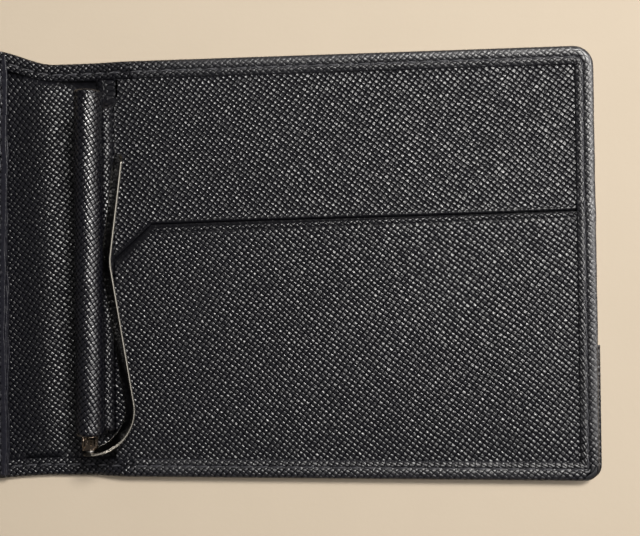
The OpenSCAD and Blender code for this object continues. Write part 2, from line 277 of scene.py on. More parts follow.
class Nodes:
    """Short names for building a node tree."""

    def __init__(self, name):
        self.material = bpy.data.materials.new(name)
        self.material.use_nodes = True
        self.tree = self.material.node_tree
        self.tree.nodes.clear()
        self.out = self.tree.nodes.new("ShaderNodeOutputMaterial")
        self.shader = self.tree.nodes.new("ShaderNodeBsdfPrincipled")
        self.link(self.shader.outputs[0], self.out.inputs["Surface"])

    def link(self, a, b):
        self.tree.links.new(a, b)

    def plug(self, value, socket):
        if isinstance(value, (int, float)):
            socket.default_value = value
        elif isinstance(value, tuple):
            socket.default_value = value if len(value) == len(socket.default_value) else (*value, 1)
        else:
            self.link(value, socket)

    def math(self, operation, a, b=0.0, c=0.0):
        n = self.tree.nodes.new("ShaderNodeMath")
        n.operation = operation
        for value, socket in zip((a, b, c), n.inputs):
            self.plug(value, socket)
        return n.outputs[0]

    def vector(self, operation, a, b=(0.0, 0.0, 0.0), scale=None):
        n = self.tree.nodes.new("ShaderNodeVectorMath")
        n.operation = operation
        self.plug(a, n.inputs[0])
        if scale is None:
            self.plug(b, n.inputs[1])
        else:
            self.plug(scale, n.inputs["Scale"])
        return n.outputs["Value" if operation == "DOT_PRODUCT" else "Vector"]

    def noise(self, vector, scale, detail=2.0, roughness=0.5, output="Fac"):
        n = self.tree.nodes.new("ShaderNodeTexNoise")
        self.plug(vector, n.inputs["Vector"])
        n.inputs["Scale"].default_value = scale
        n.inputs["Detail"].default_value = detail
        n.inputs["Roughness"].default_value = roughness
        return n.outputs[output]

    def remap(self, value, a, b, c, d):
        n = self.tree.nodes.new("ShaderNodeMapRange")
        n.interpolation_type = "SMOOTHSTEP"
        self.plug(value, n.inputs["Value"])
        for key, v in zip(("From Min", "From Max", "To Min", "To Max"), (a, b, c, d)):
            n.inputs[key].default_value = v
        return n.outputs["Result"]

    def mix(self, factor, a, b):
        n = self.tree.nodes.new("ShaderNodeMix")
        n.data_type = "RGBA"
        self.plug(factor, n.inputs["Factor"])
        self.plug(a, n.inputs["A"])
        self.plug(b, n.inputs["B"])
        return n.outputs["Result"]

    def uv(self):
        """The leather's own coordinates, in millimetres."""
        n = self.tree.nodes.new("ShaderNodeUVMap")
        n.uv_map = "grain"
        return self.vector("SCALE", n.outputs[0], scale=1.0 / (10 * MM))

    def object_coordinates(self):
        return self.tree.nodes.new("ShaderNodeTexCoord").outputs["Object"]

    def attribute(self, name):
        n = self.tree.nodes.new("ShaderNodeAttribute")
        n.attribute_name = name
        return n.outputs["Fac"]

    def bump(self, height, distance):
        n = self.tree.nodes.new("ShaderNodeBump")
        self.plug(height, n.inputs["Height"])
        n.inputs["Distance"].default_value = distance
        self.link(n.outputs[0], self.shader.inputs["Normal"])

    def set(self, **values):
        for key, value in values.items():
            self.plug(value, self.shader.inputs[key.replace("_", " ")])


def saffiano(name, low, high, crushed=0.0, turn=-37.0, shine=0.64, roughness=0.34, relief_h=0.17,
             smooth_tint_and_shade=0.3, smooth_gloss=0.4):
    """Cross-grain embossed leather: a square lattice of raised dots with crevices between, painted black
    as shade.
    The mesh value "press" (0 to 1) marks leather that is creased or folded smooth, where the colour
    is scaled by the smooth tint and the gloss by smooth_gloss of the grain's own. A tint below 1 paints
    shade into creases, seams and gaps; above 1 it lightens rubbed rims, wear and partly painted
    highlight."""
    n = Nodes(name)
    uv = n.uv()
    press = n.attribute("press")
    wobble = n.vector("SUBTRACT", n.noise(uv, 0.8, 2.0, output="Color"), (0.5, 0.5, 0.5))
    drift = n.vector("SUBTRACT", n.noise(uv, 0.05, 1.0, output="Color"), (0.5, 0.5, 0.5))
    at = n.vector("ADD", uv, n.vector("SCALE", wobble, scale=0.26 + 0.6 * crushed))
    at = n.vector("ADD", at, n.vector("SCALE", drift, scale=1.5))
    c, s = math.cos(math.radians(turn)), math.sin(math.radians(turn))
    along = n.vector("DOT_PRODUCT", at, (c, s, 0.0))
    across = n.vector("DOT_PRODUCT", at, (-s, c, 0.0))
    # rows of dots, spaced in millimetres
    waves = [n.math("ABSOLUTE", n.math("SINE", n.math("MULTIPLY", v, math.pi / pitch)))
             for v, pitch in ((along, 0.93), (across, 0.88))]
    dots = n.math("POWER", n.math("MULTIPLY", *waves), 0.5)
    # worn and crushed places, where the grain is shallow
    rub = n.remap(n.noise(uv, 0.045, 3.0, 0.6), 0.45 - 0.2 * crushed, 0.8 - 0.3 * crushed, 0.0, 0.22)
    flat = n.math("ADD", n.math("ADD", rub, 0.35 * crushed), n.math("MULTIPLY", press, 0.85))
    flat = n.math("MINIMUM", flat, 0.95)
    depth = n.math("SUBTRACT", 1.0, flat)
    pores = n.noise(uv, 4.0, 3.0, 0.65)
    each = n.remap(n.noise(uv, 1.15, 1.0), 0.3, 0.7, 0.68, 1.22)
    raised = n.math("MULTIPLY", n.math("MULTIPLY", dots, each), depth)
    relief = n.math("MULTIPLY_ADD", pores, 0.14, raised)
    # the ground between the dots is painted dark as shade and is dull, and shallower where the grain is
    # flat
    between = n.remap(dots, 0.18, 0.64, 1.0, 0.0)
    crevice_shade = n.math("MULTIPLY", between, n.remap(depth, 0.25, 0.8, 0.0, 1.0))
    top = n.math("SUBTRACT", 1.0, crevice_shade)
    tint = n.remap(n.noise(uv, 0.03, 2.0), 0.3, 0.7, 0.0, 0.35)
    lit = n.mix(tint, high, tuple(0.7 * v for v in high))
    # painted shade: pressed places darken where the tint is below 1; above 1 they lighten, which is wear
    # and partly painted highlight
    lit = n.mix(n.math("MULTIPLY", press, 0.75), lit, tuple(smooth_tint_and_shade * v for v in high))
    n.set(Base_Color=n.mix(top, low, lit))
    gloss = n.math("MULTIPLY", n.math("MULTIPLY", top, each), shine)
    n.set(Specular_IOR_Level=n.math("MULTIPLY", gloss, n.remap(press, 0.0, 1.0, 1.0, smooth_gloss)))
    n.set(Roughness=n.math("MULTIPLY_ADD", pores, 0.2, roughness - 0.1))
    n.bump(relief, relief_h * MM)
    return n.material


def polished_metal(name, colour, roughness, streak, turn_scale=(1.0, 1.0, 1.0)):
    """Polished steel with faint drawing lines, handling marks and small scratches."""
    n = Nodes(name)
    at = n.vector("MULTIPLY", n.object_coordinates(), turn_scale)
    lines = n.noise(at, 900.0, 2.0, 0.6)
    smears = n.noise(n.object_coordinates(), 160.0, 3.0, 0.6)
    n.set(Metallic=1.0)
    handled = tuple(0.78 * v for v in colour)
    n.set(Base_Color=n.mix(n.remap(smears, 0.35, 0.7, 0.0, 1.0), colour, handled))
    dulled = n.math("MULTIPLY_ADD", smears, 0.10, roughness)
    n.set(Roughness=n.math("MULTIPLY_ADD", lines, streak, dulled))
    n.bump(lines, 0.004 * MM)
    return n.material


def thread_material(name, colour):
    """Waxed thread: fine slanting strands."""
    n = Nodes(name)
    uv = n.uv()
    slant = n.vector("DOT_PRODUCT", uv, (0.8, 1.0, 0.0))
    strands = n.math("SINE", n.math("MULTIPLY", slant, 2 * math.pi / 0.35))
    shaded = tuple(0.5 * v for v in colour)
    n.set(Base_Color=n.mix(n.remap(strands, -1.0, 1.0, 0.0, 1.0), shaded, colour))
    n.set(Roughness=n.remap(strands, -1.0, 1.0, 0.62, 0.42), Sheen_Weight=0.15)
    n.bump(strands, 0.05 * MM)
    return n.material


def fibre_material(name, dark, light, scale, roughness):
    """Pressed fibre board or felt."""
    n = Nodes(name)
    fibres = n.noise(n.object_coordinates(), scale, 4.0, 0.65)
    n.set(Base_Color=n.mix(n.remap(fibres, 0.3, 0.7, 0.0, 1.0), dark, light), Roughness=roughness)
    n.bump(fibres, 0.06 * MM)
    return n.material


def table_material():
    """Pale table top with a faint mottle."""
    n = Nodes("table_top")
    at = n.object_coordinates()
    mottle = n.noise(at, 40.0, 4.0, 0.6)
    n.set(Base_Color=n.mix(mottle, (0.415, 0.352, 0.272), (0.445, 0.378, 0.295)), Roughness=0.7)
    n.set(Specular_IOR_Level=0.25)
    n.bump(n.noise(at, 900.0, 3.0), 0.02 * MM)
    return n.material


NAVY = (0.0056, 0.0056, 0.0080)
# near-black colour of the crevices between the grain's dots: painted shade
CREVICE_SHADE = (0.0007, 0.0008, 0.0014)
LEATHER_IN = saffiano("leather_inner", CREVICE_SHADE, NAVY)
# the border's rubbed rim is tinted lighter: wear, and partly painted highlight where it faces the lights
LEATHER_BORDER = saffiano("leather_border", CREVICE_SHADE, NAVY, crushed=0.35, shine=0.70, roughness=0.42,
                          smooth_tint_and_shade=1.5, smooth_gloss=1.3)
LEATHER_ROLL = saffiano("leather_roll", CREVICE_SHADE, NAVY, shine=0.66, roughness=0.26, relief_h=0.10)
LEATHER_EDGE = saffiano("leather_edge", CREVICE_SHADE, NAVY, smooth_tint_and_shade=2.0, smooth_gloss=0.35)
LEATHER_OUT = saffiano("leather_outer", CREVICE_SHADE, NAVY)
THREAD = thread_material("waxed_thread", (0.030, 0.030, 0.038))
STEEL = polished_metal("dark_spring_steel", (0.125, 0.118, 0.104), 0.12, 0.06)
NICKEL = polished_metal("warm_nickel", (0.42, 0.33, 0.26), 0.04, 0.05, (0.1, 2.0, 0.1))
DRAWN = polished_metal("drawn_rod_steel", (0.50, 0.49, 0.47), 0.25, 0.2)
BOARD = fibre_material("fibre_board", (0.20, 0.17, 0.13), (0.34, 0.30, 0.24), 900.0, 0.85)
FELT = fibre_material("felt", (0.05, 0.05, 0.055), (0.12, 0.12, 0.13), 1500.0, 0.95)

for node, material in {"right_stiffener": BOARD, "left_stiffener": BOARD, "right_padding": FELT,
                       "clip_rod": DRAWN, "rod_retainer": DRAWN}.items():
    mesh = frame["nodes"][node].data
    mesh.materials.clear()
    mesh.materials.append(material)

# ---- the turned-over border ----

# Section of the border from its inner edge over the top, round the rim and under:
# (distance from the outer edge, height above the border's top or the underside, which of them)
TOP_SIDE = [(BORDER_W + 0.02, -0.58), (BORDER_W, -0.46), (BORDER_W - 0.07, -0.38),
            (BORDER_W - 0.22, -0.31), (3.15, -0.22), (2.95, -0.14), (2.68, -0.12), (2.5, -0.18),
            (STITCH_IN, -0.26), (2.1, -0.18), (1.85, -0.05), (1.5, 0.0), (1.0, 0.0), (0.6, -0.06),
            (0.32, -0.18), (0.13, -0.38), (0.03, -0.62)]
LOW_SIDE = [(0.0, 0.70), (0.05, 0.42), (0.18, 0.2), (0.4, 0.07), (0.8, 0.0), (1.5, 0.0), (1.85, 0.02),
            (2.1, 0.09), (STITCH_IN, 0.13)]


def border_section(top, low):
    """Distances and heights of the border's section, its top at top and its underside at low."""
    d = np.array([p[0] for p in TOP_SIDE] + [p[0] for p in LOW_SIDE])
    upper = [top + p[1] for p in TOP_SIDE]
    lower = [min(low + p[1], top - 0.64) for p in LOW_SIDE]
    return d, np.array(upper + lower)


def border_route(d, straight_x, straight_y, arc):
    """The U-shaped route at distance d inside the outline: along the top, the outer edge and the
    bottom. straight_x and straight_y are shares of the straight stretches, arc of a corner."""
    x_in = SPINE_REACH
    rt, rl = max(TOP_R - d, 0.02), max(LOW_R - d, 0.02)
    x_out, y_out = HALF_W - d, EDGE_Y - d
    top = [(x_in + (x_out - rt - x_in) * t, y_out) for t in straight_x]
    corner = [(x_out - rt + rt * math.sin(a * math.pi / 2), y_out - rt + rt * math.cos(a * math.pi / 2))
              for a in arc[1:-1]]
    side = [(x_out, y_out - rt + (rl - y_out - y_out + rt) * t) for t in straight_y]
    low = [(x_out - rl + rl * math.cos(a * math.pi / 2), rl - y_out - rl * math.sin(a * math.pi / 2))
           for a in arc[1:-1]]
    bottom = [(x_out - rl + (x_in - x_out + rl) * t, -y_out) for t in straight_x]
    return np.array(top + corner + side + low + bottom)


def u_border(name, top_z, low_z, mirror):
    """Sweeps the border's section round three sides of a half. top_z(x, y), low_z(x, y) in mm."""
    along = np.linspace(0, 1, 120)
    down = np.linspace(0, 1, 110)
    arc = np.linspace(0, 1, 9)
    middle = border_route(STITCH_IN, along, down, arc)
    x, y = middle.T
    run = run_length(middle)
    d0 = border_section(3.0, 0.0)[0]
    columns = []
    for k, d in enumerate(d0):
        route = border_route(d, along, down, arc)
        puff = 0.035 * np.sin(run * 2 * math.pi / STITCH_STEP) * bell(d - STITCH_IN, 0.9)
        uneven = 0.05 * wander(3.1 * x, 2.7 * y, 1.0)
        top, low = top_z(x, y), low_z(x, y)
        if k < len(TOP_SIDE):
            z = top + TOP_SIDE[k][1] + puff + uneven * min(1.0, d)
        else:
            z = np.minimum(low + LOW_SIDE[k - len(TOP_SIDE)][1], top - 0.66)
        edge = 0.05 * wander(5 * x, 5 * y, 4.0) * bell(d, 0.6)
        px = route[:, 0] + edge * (np.abs(route[:, 0]) > HALF_W - 1)
        columns.append(np.stack([-px if mirror else px, route[:, 1], z], -1))
    points = np.stack(columns, 1)
    section = run_length(points[40])
    creased = 0.85 * bell(d0 - BORDER_W, 0.14) + 0.5 * bell(d0 - STITCH_IN, 0.2)
    # rubbed smooth away from the spine, most at the very rim, where the lighter colour is wear and
    # partly painted highlight; less along the bottom, painted shade where the rim faces away from the
    # light
    rub = smooth(np.minimum(run, run[-1] - run) / 14)
    rub = rub * (0.3 + 0.7 * smooth((y + EDGE_Y - 3) / 10))
    rubbed_and_lit = np.outer(rub, 0.2 + 0.45 * bell(d0 - 0.4, 0.9))
    press_mask = np.minimum(creased[None, :] + rubbed_and_lit, 1)
    uv = np.stack(np.broadcast_arrays(run[:, None], section[None, :], press_mask), -1)
    patches = [(points, uv, mirror)]
    # closes the inside so that the border is a solid strip
    inner = np.stack([points[:, -1], points[:, 0]], 1)
    inner_uv = np.stack([uv[:, -1], uv[:, 0]], 1)
    patches.append((inner, inner_uv, mirror))
    n = len(LOW_SIDE)
    for end in (0, -1):
        pair, pair_uv = [[v[end][:n], v[end][::-1][:n]] for v in (points, uv)]
        patches.append((np.stack(pair, 0), np.stack(pair_uv, 0), False))
    return mesh_object(name, patches, LEATHER_BORDER)


# Heights of the right border: higher where the pocket front lies under it
front_t = front_high[2] - back_high[2]
slip_z = slip_high[2]


def near_spine(x, low, high):
    """From the spine's height to a half's own as the border leaves the fold."""
    return low + (high - low) * smooth((np.abs(x) - FOLD_X - 0.5) / (SPINE_REACH - FOLD_X - 1.0))


def right_top(x, y):
    own = back_high[2] + BORDER_T + front_t * (1 - smooth((y - front_high[1]) / 2.5))
    return near_spine(x, SPINE_TOP, own)


def right_low(x, y):
    over = smooth((x - slip_low[0] + 1.5) / 1.5) * (1 - smooth((y - slip_high[1]) / 1.2))
    return slip_z * over


right_border = u_border("right_border", right_top, right_low, False)
place(right_border, RIGHT, ["outer_shell_right"])

slot_nodes = [f"card_slot_{k}" for k in (1, 2, 3, 4)]
slot_boxes = [mm_box(n) for n in slot_nodes]
left_front_y = slot_boxes[3][1][1]
left_step = slot_boxes[2][1][1] - left_front_y
slot_t = slot_boxes[0][1][2] - slot_boxes[0][0][2]
stack_top = slot_boxes[3][1][2]


def left_top(x, y):
    steps = np.clip((y - left_front_y) / left_step, 0, 4)
    return near_spine(x, SPINE_TOP, stack_top - slot_t * steps + BORDER_T)


def flat_low(x, y):
    return 0.0 * x


left_border = u_border("left_border", left_top, flat_low, True)
place(left_border, LEFT, ["outer_shell_left"])

# ---- outside leather ----


def mirrored(x, y):
    """A grid mirrored in the spine's middle, its faces still the right way round."""
    return -x[::-1], y[::-1]


def outside_sheet(name, low_z, mirror, body):
    """The outside of a half, with a shallow valley where its edge is stitched."""
    x1, y1 = HALF_W - STITCH_IN, EDGE_Y - STITCH_IN
    x, y = np.meshgrid(spaced(SPINE_REACH, x1, 1.6), spaced(-y1, y1, 1.6), indexing="ij")
    x, y = corner_map(x, y, x1, y1, TOP_R - STITCH_IN, 1, 1)
    x, y = corner_map(x, y, x1, -y1, LOW_R - STITCH_IN, 1, -1)
    free = np.minimum(x1 - x, y1 - np.abs(y))
    base = low_z(x, y) + 0.13 * bell(free, 0.35) + 0.05 * (wander(x, y, 2.0) + 1) * smooth(free / 4)
    if mirror:
        x, y = mirrored(x, y)
        base = base[::-1]
    sheet = slab(name, x, y, lambda a, b, d: base, 0.75, LEATHER_OUT, edge_r=0.001, under=True)
    return place(sheet, body, ())


outside_sheet("right_outside", right_low, False, RIGHT)
outside_sheet("left_outside", flat_low, True, LEFT)


def slip_pocket():
    """The pocket on the back: a turned edge all round and a creased mouth."""
    x0, x1 = slip_low[0], slip_high[0]
    y0, y1 = slip_low[1], slip_high[1]
    x, y = np.meshgrid(spaced(x0, x1, 1.2), spaced(y0, y1, 1.0), indexing="ij")
    x, y = corner_map(x, y, x1, y0, LOW_R, 1, -1)

    def underside(a, b, d):
        crease = 0.07 * bell(y1 - b - 1.6, 0.22)
        seam = 0.08 * bell(np.minimum(np.minimum(x1 - a, b - y0), a - x0) - 2.2, 0.3)
        return 0.02 + crease + seam + 0.02 * (wander(a, b, 5.0) + 1)

    piece = slab("slip_pocket", x, y, underside, slip_z - 0.01, LEATHER_OUT, edge_r=0.22, under=True)
    return place(piece, RIGHT, ["slip_pocket_front"])


slip_pocket()

# ---- inside panels of the right half ----


def back_leather():
    """The upper inside panel, creased along the border and dented beside the pocket mouth."""
    x = spaced(PANEL_X, back_high[0], 1.0)
    x = np.sort(np.append(x, CHAMFER_END + np.array([-0.1, 0.0, 0.1])))
    # grid lines follow the pocket's mouth, close together where the slit is
    slit = np.concatenate([[-3, -1.2, -0.4], np.linspace(0, 1.1, 15), [1.3, 1.6, 2.2, 3.0]])
    low = spaced(-back_high[1], -3.0, 1.0)
    high = spaced(3.0, back_high[1], 1.0)
    steps = np.concatenate([low - low[-1] - 3, slit[1:-1], high - high[0] + 3.0])
    x, t = np.meshgrid(x, steps, indexing="ij")
    mouth = pocket_edge_y(x)
    below = -back_high[1] + (t - steps[0]) / (-3 - steps[0]) * (mouth - 3 + back_high[1])
    above = back_high[1] + (t - steps[-1]) / (3 - steps[-1]) * (mouth + 3 - back_high[1])
    y = np.where(t < -3, below, np.where(t > 3, above, mouth + t))
    x, y = corner_map(x, y, back_high[0], back_high[1], PANEL_TOP_R, 1, 1)
    x, y = corner_map(x, y, back_high[0], -back_high[1], PANEL_LOW_R, 1, -1)

    def top(a, b, d):
        mouth = b - pocket_edge_y(a)
        past = mouth - slit_width(a)
        dent = 0.36 * smooth(-past / 0.16) - 0.10 * bell(past - 0.4, 0.3)
        free = np.minimum(HALF_W - BORDER_W - a, EDGE_Y - BORDER_W - np.abs(b))
        swell = 0.10 * smooth(free / 7) * smooth((a - PANEL_X) / 9)
        swell = swell - 0.02 * bell(free, 0.25)
        return back_high[2] - 0.02 - dent + swell * smooth(mouth / 8) + 0.03 * wander(a, b, 0.4)

    def press(a, b, d):
        mouth = b - pocket_edge_y(a) - slit_width(a)
        recess = (1 - smooth((a - PANEL_X - 0.5) / 5)) * smooth((b - 0.82 * back_high[1]) / 3)
        edge = bell(d, 0.3) * (1 - smooth((b - neck_y1) / 1.5) * (a < PANEL_X + 2))
        # the gap above the pocket's mouth is pressed, which darkens it: painted shade in the slit
        return np.maximum.reduce([edge, bell(mouth - 0.15, 0.45), 1.0 * (mouth < 0), 0.45 * recess])

    piece = slab("back_leather", x, y, top, back_low[2], LEATHER_IN, 0.16, press=press)
    return place(piece, RIGHT, ["back_panel"])


def slit_width(x):
    """The gap above the pocket's mouth, narrower towards the outer edge and along the cut-off corner."""
    return 0.32 + 0.42 * (1 - smooth((x - 30) / 65)) - 0.18 * (x < CHAMFER_END)


def pocket_edge_y(x):
    """Height of the pocket's mouth at x: the cut-off corner, then the slanted mouth."""
    y_cut = front_high[1] - SLIT_SLOPE
    slant = y_cut + SLIT_SLOPE * (x - CHAMFER_END) / (front_high[0] - CHAMFER_END)
    cut = y_cut - CHAMFER[1] * (CHAMFER_END - x) / CHAMFER[0]
    return np.where(x < CHAMFER_END, cut, slant)


def pocket_leather():
    """The lower inside panel. Its mouth is a folded edge that lifts a little at its inner end."""
    x = spaced(PANEL_X, front_high[0], 1.0)
    x = np.sort(np.append(x, CHAMFER_END + np.array([-0.12, 0.0, 0.12])))
    height, y_low = 50.0, front_low[1]
    x, t = np.meshgrid(x, spaced(0, height, 1.0), indexing="ij")
    x, foot = corner_map(x, y_low + t, front_high[0], y_low, PANEL_LOW_R, 1, -1)
    share = (foot - y_low) / height
    y = y_low + share * (pocket_edge_y(x) - y_low)

    def top(a, b, d):
        below = pocket_edge_y(a) - b
        lift = bell(below, 3.2) * (0.30 - 0.24 * smooth((a - 30) / 60)) * smooth((a - PANEL_X) / 6)
        crease = 0.085 * bell(below - 1.25, 0.26)
        roll = 0.05 * bell(below - 0.55, 0.4)
        free = np.minimum(HALF_W - BORDER_W - a, EDGE_Y - BORDER_W + b)
        swell = 0.12 * smooth(free / 8) * smooth(below / 9) - 0.07 * bell(free, 0.25)
        return front_high[2] - 0.02 + lift - crease + roll + swell + 0.03 * wander(a, b, 1.7)

    # the folded mouth is pressed, which darkens it: painted shade along the slit; the heat crease below
    # it is pressed too
    def press(a, b, d):
        below = pocket_edge_y(a) - b
        cut = a < CHAMFER_END + 0.3
        band = np.where(cut, 1 - smooth((below - 1.1) / 0.4), 1 - smooth((below - 0.22) / 0.2))
        return np.maximum(band, 0.7 * bell(below - 1.25, 0.3))

    piece = slab("pocket_leather", x, y, top, back_high[2] - 0.3, LEATHER_IN, 0.2, press=press)
    return place(piece, RIGHT, ["pocket_front"])


back_leather()
pocket_leather()

# ---- spine: leather between the two folds ----


def lining_z(x, y):
    """The lining crowns between the folds and runs down under the roll."""
    crest = -1.2
    crown = 0.55 + 0.35 * smooth((EDGE_Y - BORDER_W - np.abs(y)) / 9)
    return FOLD_Z - 0.34 + crown * bell(x - crest, 5.4 if x < crest else 3.5) - 0.1 * smooth(x / 6)


def spine_leather(name, sign, nodes):
    """Half of the spine, from its middle out to SPINE_REACH, as one closed strip with its border."""
    shares = [np.linspace(0, 3, 8)[:-1], np.linspace(3, 11, 41)[:-1], np.linspace(11, SPINE_REACH, 12)]
    x = sign * np.concatenate(shares)
    top_of = right_top if sign > 0 else left_top
    inner = EDGE_Y - BORDER_W
    lining_y = np.linspace(inner - 0.02, 0.02 - inner, 60)
    under_y = np.linspace(EDGE_Y - STITCH_IN - 0.35, STITCH_IN + 0.35 - EDGE_Y, 40)
    rows = []
    for xi in x:
        borders = []
        for edge in (1, -1):
            high = float(top_of(np.array(xi), np.array(edge * (EDGE_Y - STITCH_IN))))
            d, z = border_section(high, 0.0)
            borders.append((edge * (EDGE_Y - d), z))
        lz = lining_z(xi, lining_y) + 0.02 * wander(lining_y * 2, xi * 6 + 0 * lining_y, 0.8)
        uz = 0.02 + 0.11 * bell(EDGE_Y - STITCH_IN - np.abs(under_y), 0.5)
        y = np.concatenate([borders[0][0], under_y, borders[1][0][::-1], lining_y[::-1]])
        z = np.concatenate([borders[0][1], uz, borders[1][1][::-1], lz[::-1]])
        rows.append(np.stack([np.full_like(y, xi), y, z], -1))
    points = sweep(rows)
    run = run_length(points[0])
    px, py = points[..., 0], points[..., 1]
    # pressed, which darkens the lining, in the recess above the roll's top end (painted shade) and along
    # the seams
    recess = smooth((py - roll_y1 + 0.5) / 1.2) * smooth((px - 3) / 3) * (1 - smooth((py - inner) / 0.5))
    seams = 0.7 * bell(np.abs(py) - inner, 0.2) + 0.6 * bell(np.abs(py) - EDGE_Y + STITCH_IN, 0.25)
    press_mask = np.maximum(0.9 * recess, seams)
    uv = np.stack(np.broadcast_arrays(x[:, None], run[None, :], press_mask), -1)
    piece = mesh_object(name, [(points, uv, sign < 0)], LEATHER_IN)
    bend_at_fold(place(piece, None, nodes), sign)


def bend_at_fold(piece, sign):
    """Bakes a piece of the spine's placement into its mesh, the same on either side."""
    if sign > 0:
        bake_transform(piece)
    else:
        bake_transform(piece)


spine_leather("spine_leather_right", 1, ["spine_shell", "spine_lining", "right_spine_lining"])
spine_leather("spine_leather_left", -1, ["left_lining"])

# ---- leather roll, its neck and ridge ----

LEATHER_R = ROLL_R - 0.15
ROD_FIT = 0.05
HOOD_WALL = 0.38


def roll():
    """The leather tube round the rod: outer face, rounded ends, the bore's mouth and the hood."""
    angles = np.linspace(0, 2 * math.pi, 65)[:-1]
    rod_low, rod_high = mm_box("clip_rod")
    r_in = (rod_high[0] - rod_low[0]) / 2 + ROD_FIT
    r_hood = ROLL_R - HOOD_WALL
    soft = [(0.0, LEATHER_R - 0.3), (0.06, LEATHER_R - 0.15), (0.2, LEATHER_R - 0.03),
            (0.5, LEATHER_R)]
    stations = [(neck_y1, r_in), (roll_y0 + 0.05, r_in)] + [(roll_y0 + a, r) for a, r in soft]
    stations += [(y, LEATHER_R) for y in np.linspace(roll_y0 + 0.5, roll_y1 - 0.5, 130)[1:-1]]
    stations += [(roll_y1 - a, r) for a, r in soft[::-1]]
    stations += [(roll_y1 - 0.03, r_hood), (neck_y1 + 0.03, r_hood), (neck_y1, r_hood - 0.2),
                 (neck_y1, r_in)]
    rows = []
    for y, r in stations:
        wave = 0.05 * np.sin(0.23 * y + angles) + 0.035 * np.sin(0.61 * y - 2 * angles)
        # the seam's hem: a folded end that is a little thicker
        hem = 0.12 * bell(roll_y1 - y - 0.4, 0.3) - 0.08 * bell(roll_y1 - y - 1.1, 0.25)
        hem += 0.06 * bell(y - roll_y0 - 0.8, 0.5)
        rr = r + (wave + hem) * (r > LEATHER_R - 0.1)
        ring = [ROD_X + rr * np.cos(angles), np.full_like(angles, y), ROD_Z + rr * np.sin(angles)]
        rows.append(np.stack(ring, -1))
    points = sweep(rows)
    ys = run_length(points[:, 0])
    around = np.append(angles, 2 * math.pi) * ROLL_R
    at = np.array(stations)[:, 0]
    press_mask = 0.8 * bell(roll_y1 - at - 1.1, 0.3) + 0.8 * bell(roll_y1 - at, 0.3)
    press_mask = press_mask + 0.9 * bell(at - roll_y0, 0.3)
    uv = np.stack(np.broadcast_arrays(around[None, :], ys[:, None], press_mask[:, None]), -1)
    piece = mesh_object("leather_roll", [(points, uv, False)], LEATHER_ROLL)
    return place(piece, RIGHT, ["clip_sleeve"])


roll()

neck_x0, neck_x1 = ROD_X - 0.4, ROD_X + 0.9
ridge_x, ridge_z, ridge_r = ROD_X + 1.95, ROD_Z - 5.4, 1.2


def neck():
    """The two plies that carry the roll, ending in a rounded ridge and a flange under the panel.
    Past the roll's top end they flatten into a tongue that runs on to the border."""
    foot = sleeve_low[2]
    top = ROD_Z - ROLL_R + 0.4
    arc = [(ridge_x + ridge_r * math.cos(a), ridge_z + ridge_r * math.sin(a))
           for a in np.linspace(math.radians(130), math.radians(-30), 14)]
    section = [(neck_x0, foot), (neck_x0, (foot + top) / 2), (neck_x0, top), (neck_x1, top),
               (neck_x1, ridge_z + 1.15), (neck_x1 + 0.1, ridge_z + 0.85)] + arc
    section += [(ridge_x + 0.75, ridge_z - 0.95), (ridge_x + 0.72, foot + 0.8),
                (ridge_x + 1.0, foot + 0.4), (sleeve_high[0] - 0.1, foot + 0.38),
                (sleeve_high[0] - 0.1, foot)]
    section = np.array(section)
    tongue_y1 = EDGE_Y - BORDER_W - 0.1
    rounded = 0.9
    stations = np.concatenate([roll_y0 + np.array([0.1, 0.16, 0.3, 0.55, rounded]),
                               np.linspace(roll_y0 + 1.2, neck_y1 - 1.6, 80),
                               np.linspace(neck_y1 - 1.4, neck_y1 + 1.0, 16),
                               np.linspace(neck_y1 + 1.3, tongue_y1, 6)])
    rows = []
    for y in stations:
        short = max(0.0, rounded - (y - roll_y0)) / rounded
        low_z = foot + (section[:, 1] - foot) * (0.80 + 0.20 * math.sqrt(1 - short ** 2))
        sink = float(smooth((y - neck_y1 + 2.4) / 3.4))
        z = low_z + (np.minimum(low_z, back_high[2]) - low_z) * sink
        x = section[:, 0] + 0.05 * math.sin(0.29 * y) * (section[:, 1] > foot + 1)
        x = x + 0.8 * sink * (section[:, 0] > ridge_x) * (section[:, 1] > foot + 0.6)
        rows.append(np.stack([x, np.full(len(x), y), z], -1))
    points = sweep(rows)
    around = run_length(points[30])
    press_mask = 0.5 * smooth((stations - neck_y1 + 1.8) / 1.5)
    uv = np.stack(np.broadcast_arrays(around[None, :], stations[:, None], press_mask[:, None]), -1)
    caps = []
    for ring in (points[0], points[-1]):
        hub = ring[:-1].mean(0)
        caps.append(end_cap(ring, hub, ring[:, ::2], np.broadcast_to(hub[::2], ring[:, ::2].shape)))
    piece = mesh_object("roll_neck", [(points, uv, False)] + caps, LEATHER_IN)
    return place(piece, RIGHT, ())


neck()

# ---- money clip ----

LEAN = math.atan2(-joints["clip_flex"]["axis"][0], -joints["clip_flex"]["axis"][2])
# the strip's thickness and width, and how far its low edge lies below the rod's axis
STRIP_T, STRIP_W, STRIP_LOW = 0.6, 5.4, 2.2
# its end bend and kink, and the slopes towards the roll and away from it in degrees
BEND_R, KINK_R = 8.0, 10.0
LEAD_IN, FLARE = 9.3, 7.2
# how far it runs past the rod and past the kink, and the kink's gap to the roll
TAIL, TIP_L, KINK_GAP = 1.7, 20.5, 0.25
STRIP_Y = joint_at("clip_flex")[1] - BEND_R * (1 - math.cos(math.pi / 4))


def clip_point(u, v, w):
    """From the clip's own plane (away from the roll, along it, across the strip) to the frame."""
    return np.stack([ROD_X + u * math.cos(LEAN) + w * math.sin(LEAN), STRIP_Y + v,
                     ROD_Z - u * math.sin(LEAN) + w * math.cos(LEAN)], -1)


